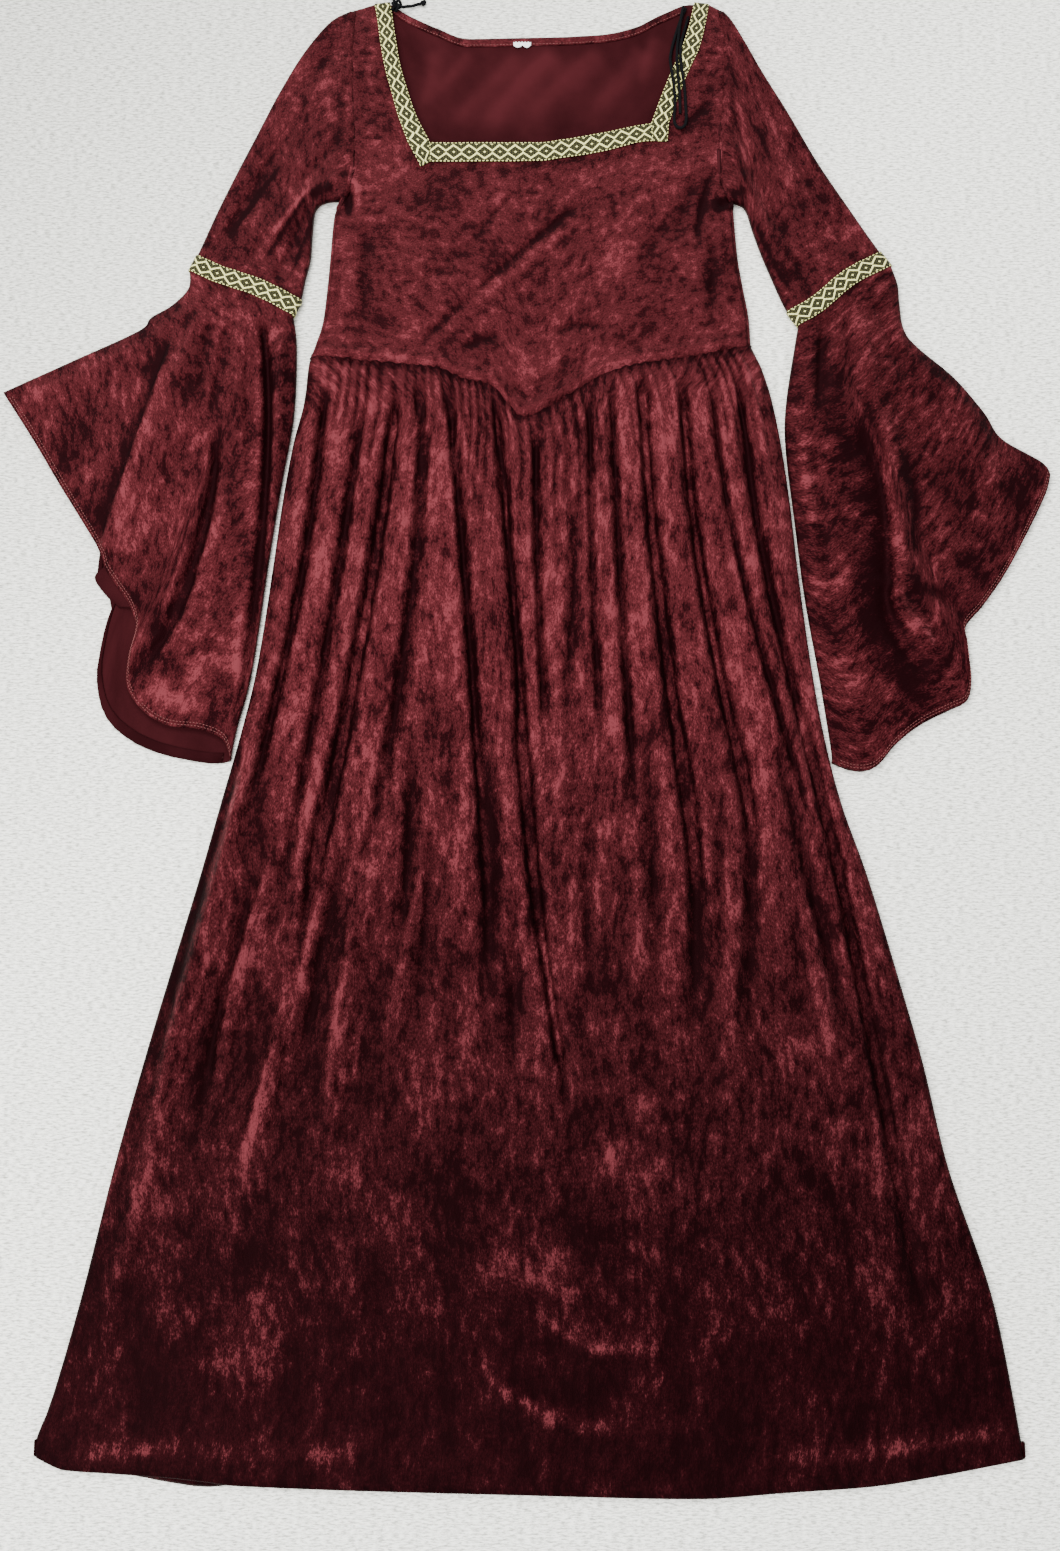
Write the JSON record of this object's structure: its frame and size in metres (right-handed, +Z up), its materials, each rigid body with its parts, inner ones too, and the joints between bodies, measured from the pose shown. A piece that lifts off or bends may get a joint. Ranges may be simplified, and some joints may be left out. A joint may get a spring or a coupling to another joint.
{
  "type": "medieval gown",
  "caption": "Long gown laid flat: square braided neckline, pointed gathered waist, fitted upper sleeves with braid and wide bell lower sleeves, flared skirt, knotted shoulder cords.",
  "frame": {"origin": "centre of the base, on the surface that the gown lies on, without its loose cords", "axes": "+X across, +Y from the hem to the shoulders, +Z up from the surface, out of the gown's front"},
  "size_m": [1.029, 1.4953, 0.0178],
  "materials": {
    "velvet": "crushed stretch velvet, short shiny pile",
    "braid": "woven jacquard braid, gold and black",
    "cord": "matte black cord",
    "label": "matte white tape"
  },
  "bodies": {
    "root": {"skirt_front": "velvet", "skirt_back": "velvet", "bodice_front": "velvet", "bodice_back": "velvet", "sleeve_left": "velvet", "sleeve_right": "velvet", "bell_left": "velvet", "bell_right": "velvet", "neck_trim_left": "braid", "neck_trim_bottom": "braid", "neck_trim_right": "braid", "sleeve_trim_left": "braid", "sleeve_trim_right": "braid", "cord_knot_left": "cord", "cord_up_left": "cord", "cord_side_left": "cord", "cord_tip_left": "cord", "cord_loop_right": "cord", "cord_end_right": "cord", "label_stub": "label"}
  },
  "joints": []
}
